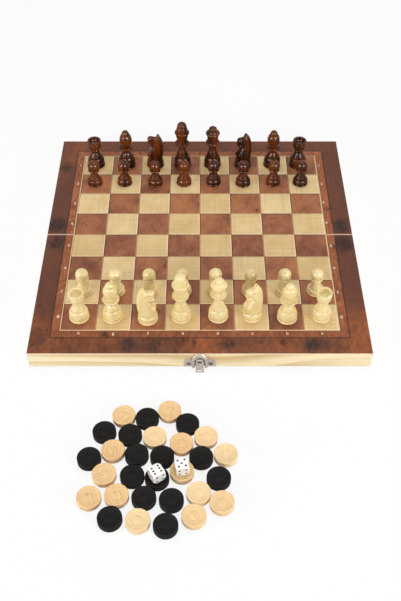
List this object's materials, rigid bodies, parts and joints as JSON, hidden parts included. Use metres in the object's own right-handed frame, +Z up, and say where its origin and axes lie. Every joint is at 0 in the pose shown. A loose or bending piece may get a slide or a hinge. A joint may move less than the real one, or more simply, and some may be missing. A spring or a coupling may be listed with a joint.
{
  "type": "folding chess, draughts and backgammon box",
  "caption": "Shallow wooden box that unfolds into an inlaid chess and draughts board, with a nickel hasp, turned chessmen, loose draughts and dice.",
  "frame": {"origin": "middle of the fold line, in the plane of the tray rims that the open board rests on", "axes": "+X to the player's right along the fold, +Y away from the clasp towards the rear half, +Z up out of the playing face"},
  "size_m": [0.34, 0.5296, 0.0827],
  "materials": {
    "pine_rail": "pale pine with a clear matt finish",
    "panel_board": "pale thin board",
    "burl_veneer": "brown burl with a satin finish",
    "light_veneer": "pale crosshatched veneer with a satin finish",
    "point_lining": "printed lining with points for backgammon",
    "hinge_metal": "plated, lightly worn",
    "screw_steel": "plated",
    "pin_steel": "bright drawn",
    "clasp_nickel": "satin nickel",
    "hasp_nickel": "satin nickel",
    "light_man": "turned, clear gloss lacquer",
    "dark_man": "turned, stained, gloss lacquer",
    "natural_draught": "sanded end grain",
    "black_draught": "stained black, matt",
    "dice_plastic": "white with dark pips"
  },
  "bodies": {
    "rear_half": {"rear_outer_rail": "pine_rail", "rear_hinge_rail": "pine_rail", "rear_side_rails": "pine_rail", "rear_panel": "panel_board", "rear_face_veneer": "burl_veneer", "rear_light_squares": "light_veneer", "rear_lining": "point_lining", "rear_hinge_leaves": "hinge_metal", "hinge_pins": "pin_steel", "rear_hinge_screws": "screw_steel", "catch_plate": "clasp_nickel", "catch_screws": "screw_steel"},
    "front_half": {"front_outer_rail": "pine_rail", "front_hinge_rail": "pine_rail", "front_side_rails": "pine_rail", "front_panel": "panel_board", "front_face_veneer": "burl_veneer", "front_light_squares": "light_veneer", "front_lining": "point_lining", "front_hinge_leaves": "hinge_metal", "front_hinge_screws": "screw_steel", "clasp_plate": "clasp_nickel", "clasp_pin": "pin_steel", "clasp_screws": "screw_steel"},
    "clasp_hasp": {"clasp_hasp": "hasp_nickel"},
    "natural_draughts": {"natural_draughts": "natural_draught"},
    "black_draughts": {"black_draughts": "black_draught"},
    "dice": {"dice": "dice_plastic"},
    "light_rook_left": {"light_rook_left": "light_man"},
    "light_bishop_left": {"light_bishop_left": "light_man"},
    "light_knight_left": {"light_knight_left": "light_man"},
    "light_king": {"light_king": "light_man"},
    "light_queen": {"light_queen": "light_man"},
    "light_knight_right": {"light_knight_right": "light_man"},
    "light_bishop_right": {"light_bishop_right": "light_man"},
    "light_rook_right": {"light_rook_right": "light_man"},
    "light_pawn_1": {"light_pawn_1": "light_man"},
    "light_pawn_2": {"light_pawn_2": "light_man"},
    "light_pawn_3": {"light_pawn_3": "light_man"},
    "light_pawn_4": {"light_pawn_4": "light_man"},
    "light_pawn_5": {"light_pawn_5": "light_man"},
    "light_pawn_6": {"light_pawn_6": "light_man"},
    "light_pawn_7": {"light_pawn_7": "light_man"},
    "light_pawn_8": {"light_pawn_8": "light_man"},
    "dark_rook_left": {"dark_rook_left": "dark_man"},
    "dark_bishop_left": {"dark_bishop_left": "dark_man"},
    "dark_knight_left": {"dark_knight_left": "dark_man"},
    "dark_king": {"dark_king": "dark_man"},
    "dark_queen": {"dark_queen": "dark_man"},
    "dark_knight_right": {"dark_knight_right": "dark_man"},
    "dark_bishop_right": {"dark_bishop_right": "dark_man"},
    "dark_rook_right": {"dark_rook_right": "dark_man"},
    "dark_pawn_1": {"dark_pawn_1": "dark_man"},
    "dark_pawn_2": {"dark_pawn_2": "dark_man"},
    "dark_pawn_3": {"dark_pawn_3": "dark_man"},
    "dark_pawn_4": {"dark_pawn_4": "dark_man"},
    "dark_pawn_5": {"dark_pawn_5": "dark_man"},
    "dark_pawn_6": {"dark_pawn_6": "dark_man"},
    "dark_pawn_7": {"dark_pawn_7": "dark_man"},
    "dark_pawn_8": {"dark_pawn_8": "dark_man"}
  },
  "joints": [
    {"name": "board_fold", "type": "hinge", "parent": "rear_half", "child": "front_half", "pos_m": [0, 0, -0.0001], "axis": [1, 0, 0], "range_deg": [0, 180]},
    {"name": "clasp_swing", "type": "hinge", "parent": "front_half", "child": "clasp_hasp", "pos_m": [0, -0.1717, 0.012], "axis": [1, 0, 0], "range_deg": [-80, 22]},
    {"name": "lift_natural_draughts", "type": "slide", "parent": "rear_half", "child": "natural_draughts", "axis": [0, 0, 1], "range_m": [0, 0.06]},
    {"name": "lift_black_draughts", "type": "slide", "parent": "natural_draughts", "child": "black_draughts", "axis": [0, 0, 1], "range_m": [0, 0.06]},
    {"name": "lift_dice", "type": "slide", "parent": "black_draughts", "child": "dice", "axis": [0, 0, 1], "range_m": [0, 0.06]},
    {"name": "lift_light_rook_left", "type": "slide", "parent": "front_half", "child": "light_rook_left", "axis": [0, 0, 1], "range_m": [0, 0.06]},
    {"name": "lift_light_bishop_left", "type": "slide", "parent": "front_half", "child": "light_bishop_left", "axis": [0, 0, 1], "range_m": [0, 0.06]},
    {"name": "lift_light_knight_left", "type": "slide", "parent": "front_half", "child": "light_knight_left", "axis": [0, 0, 1], "range_m": [0, 0.06]},
    {"name": "lift_light_king", "type": "slide", "parent": "front_half", "child": "light_king", "axis": [0, 0, 1], "range_m": [0, 0.06]},
    {"name": "lift_light_queen", "type": "slide", "parent": "front_half", "child": "light_queen", "axis": [0, 0, 1], "range_m": [0, 0.06]},
    {"name": "lift_light_knight_right", "type": "slide", "parent": "front_half", "child": "light_knight_right", "axis": [0, 0, 1], "range_m": [0, 0.06]},
    {"name": "lift_light_bishop_right", "type": "slide", "parent": "front_half", "child": "light_bishop_right", "axis": [0, 0, 1], "range_m": [0, 0.06]},
    {"name": "lift_light_rook_right", "type": "slide", "parent": "front_half", "child": "light_rook_right", "axis": [0, 0, 1], "range_m": [0, 0.06]},
    {"name": "lift_light_pawn_1", "type": "slide", "parent": "front_half", "child": "light_pawn_1", "axis": [0, 0, 1], "range_m": [0, 0.06]},
    {"name": "lift_light_pawn_2", "type": "slide", "parent": "front_half", "child": "light_pawn_2", "axis": [0, 0, 1], "range_m": [0, 0.06]},
    {"name": "lift_light_pawn_3", "type": "slide", "parent": "front_half", "child": "light_pawn_3", "axis": [0, 0, 1], "range_m": [0, 0.06]},
    {"name": "lift_light_pawn_4", "type": "slide", "parent": "front_half", "child": "light_pawn_4", "axis": [0, 0, 1], "range_m": [0, 0.06]},
    {"name": "lift_light_pawn_5", "type": "slide", "parent": "front_half", "child": "light_pawn_5", "axis": [0, 0, 1], "range_m": [0, 0.06]},
    {"name": "lift_light_pawn_6", "type": "slide", "parent": "front_half", "child": "light_pawn_6", "axis": [0, 0, 1], "range_m": [0, 0.06]},
    {"name": "lift_light_pawn_7", "type": "slide", "parent": "front_half", "child": "light_pawn_7", "axis": [0, 0, 1], "range_m": [0, 0.06]},
    {"name": "lift_light_pawn_8", "type": "slide", "parent": "front_half", "child": "light_pawn_8", "axis": [0, 0, 1], "range_m": [0, 0.06]},
    {"name": "lift_dark_rook_left", "type": "slide", "parent": "rear_half", "child": "dark_rook_left", "axis": [0, 0, 1], "range_m": [0, 0.06]},
    {"name": "lift_dark_bishop_left", "type": "slide", "parent": "rear_half", "child": "dark_bishop_left", "axis": [0, 0, 1], "range_m": [0, 0.06]},
    {"name": "lift_dark_knight_left", "type": "slide", "parent": "rear_half", "child": "dark_knight_left", "axis": [0, 0, 1], "range_m": [0, 0.06]},
    {"name": "lift_dark_king", "type": "slide", "parent": "rear_half", "child": "dark_king", "axis": [0, 0, 1], "range_m": [0, 0.06]},
    {"name": "lift_dark_queen", "type": "slide", "parent": "rear_half", "child": "dark_queen", "axis": [0, 0, 1], "range_m": [0, 0.06]},
    {"name": "lift_dark_knight_right", "type": "slide", "parent": "rear_half", "child": "dark_knight_right", "axis": [0, 0, 1], "range_m": [0, 0.06]},
    {"name": "lift_dark_bishop_right", "type": "slide", "parent": "rear_half", "child": "dark_bishop_right", "axis": [0, 0, 1], "range_m": [0, 0.06]},
    {"name": "lift_dark_rook_right", "type": "slide", "parent": "rear_half", "child": "dark_rook_right", "axis": [0, 0, 1], "range_m": [0, 0.06]},
    {"name": "lift_dark_pawn_1", "type": "slide", "parent": "rear_half", "child": "dark_pawn_1", "axis": [0, 0, 1], "range_m": [0, 0.06]},
    {"name": "lift_dark_pawn_2", "type": "slide", "parent": "rear_half", "child": "dark_pawn_2", "axis": [0, 0, 1], "range_m": [0, 0.06]},
    {"name": "lift_dark_pawn_3", "type": "slide", "parent": "rear_half", "child": "dark_pawn_3", "axis": [0, 0, 1], "range_m": [0, 0.06]},
    {"name": "lift_dark_pawn_4", "type": "slide", "parent": "rear_half", "child": "dark_pawn_4", "axis": [0, 0, 1], "range_m": [0, 0.06]},
    {"name": "lift_dark_pawn_5", "type": "slide", "parent": "rear_half", "child": "dark_pawn_5", "axis": [0, 0, 1], "range_m": [0, 0.06]},
    {"name": "lift_dark_pawn_6", "type": "slide", "parent": "rear_half", "child": "dark_pawn_6", "axis": [0, 0, 1], "range_m": [0, 0.06]},
    {"name": "lift_dark_pawn_7", "type": "slide", "parent": "rear_half", "child": "dark_pawn_7", "axis": [0, 0, 1], "range_m": [0, 0.06]},
    {"name": "lift_dark_pawn_8", "type": "slide", "parent": "rear_half", "child": "dark_pawn_8", "axis": [0, 0, 1], "range_m": [0, 0.06]}
  ]
}
